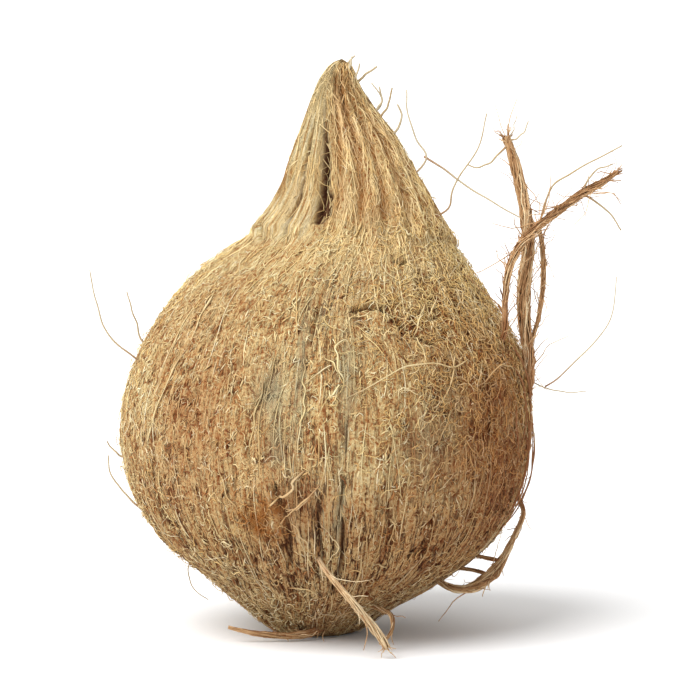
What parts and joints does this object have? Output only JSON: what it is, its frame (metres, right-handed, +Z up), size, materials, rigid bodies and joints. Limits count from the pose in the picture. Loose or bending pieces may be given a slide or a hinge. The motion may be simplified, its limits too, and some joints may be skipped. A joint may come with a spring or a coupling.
{
  "type": "husked coconut",
  "caption": "Mature coconut with most of its husk torn away: a round nut matted with coir, a pointed crown of husk and loose strands of fibre, standing on a small flat spot.",
  "frame": {"origin": "middle of the small flat spot that the nut stands on", "axes": "+Z up through the nut to the tip of its crown, -Y to the front, where the crown's deep cleft is, +X to the side of the long torn strands"},
  "size_m": [0.153, 0.1246, 0.167],
  "materials": {
    "husk": "dry, matted coir fibre, straw to red-brown, fully matt",
    "coir": "single loose fibres, pale straw, faint dry sheen",
    "torn_strand": "torn bundles of coir, warm brown, matt"
  },
  "bodies": {
    "root": {"coconut": "husk"}
  },
  "joints": []
}
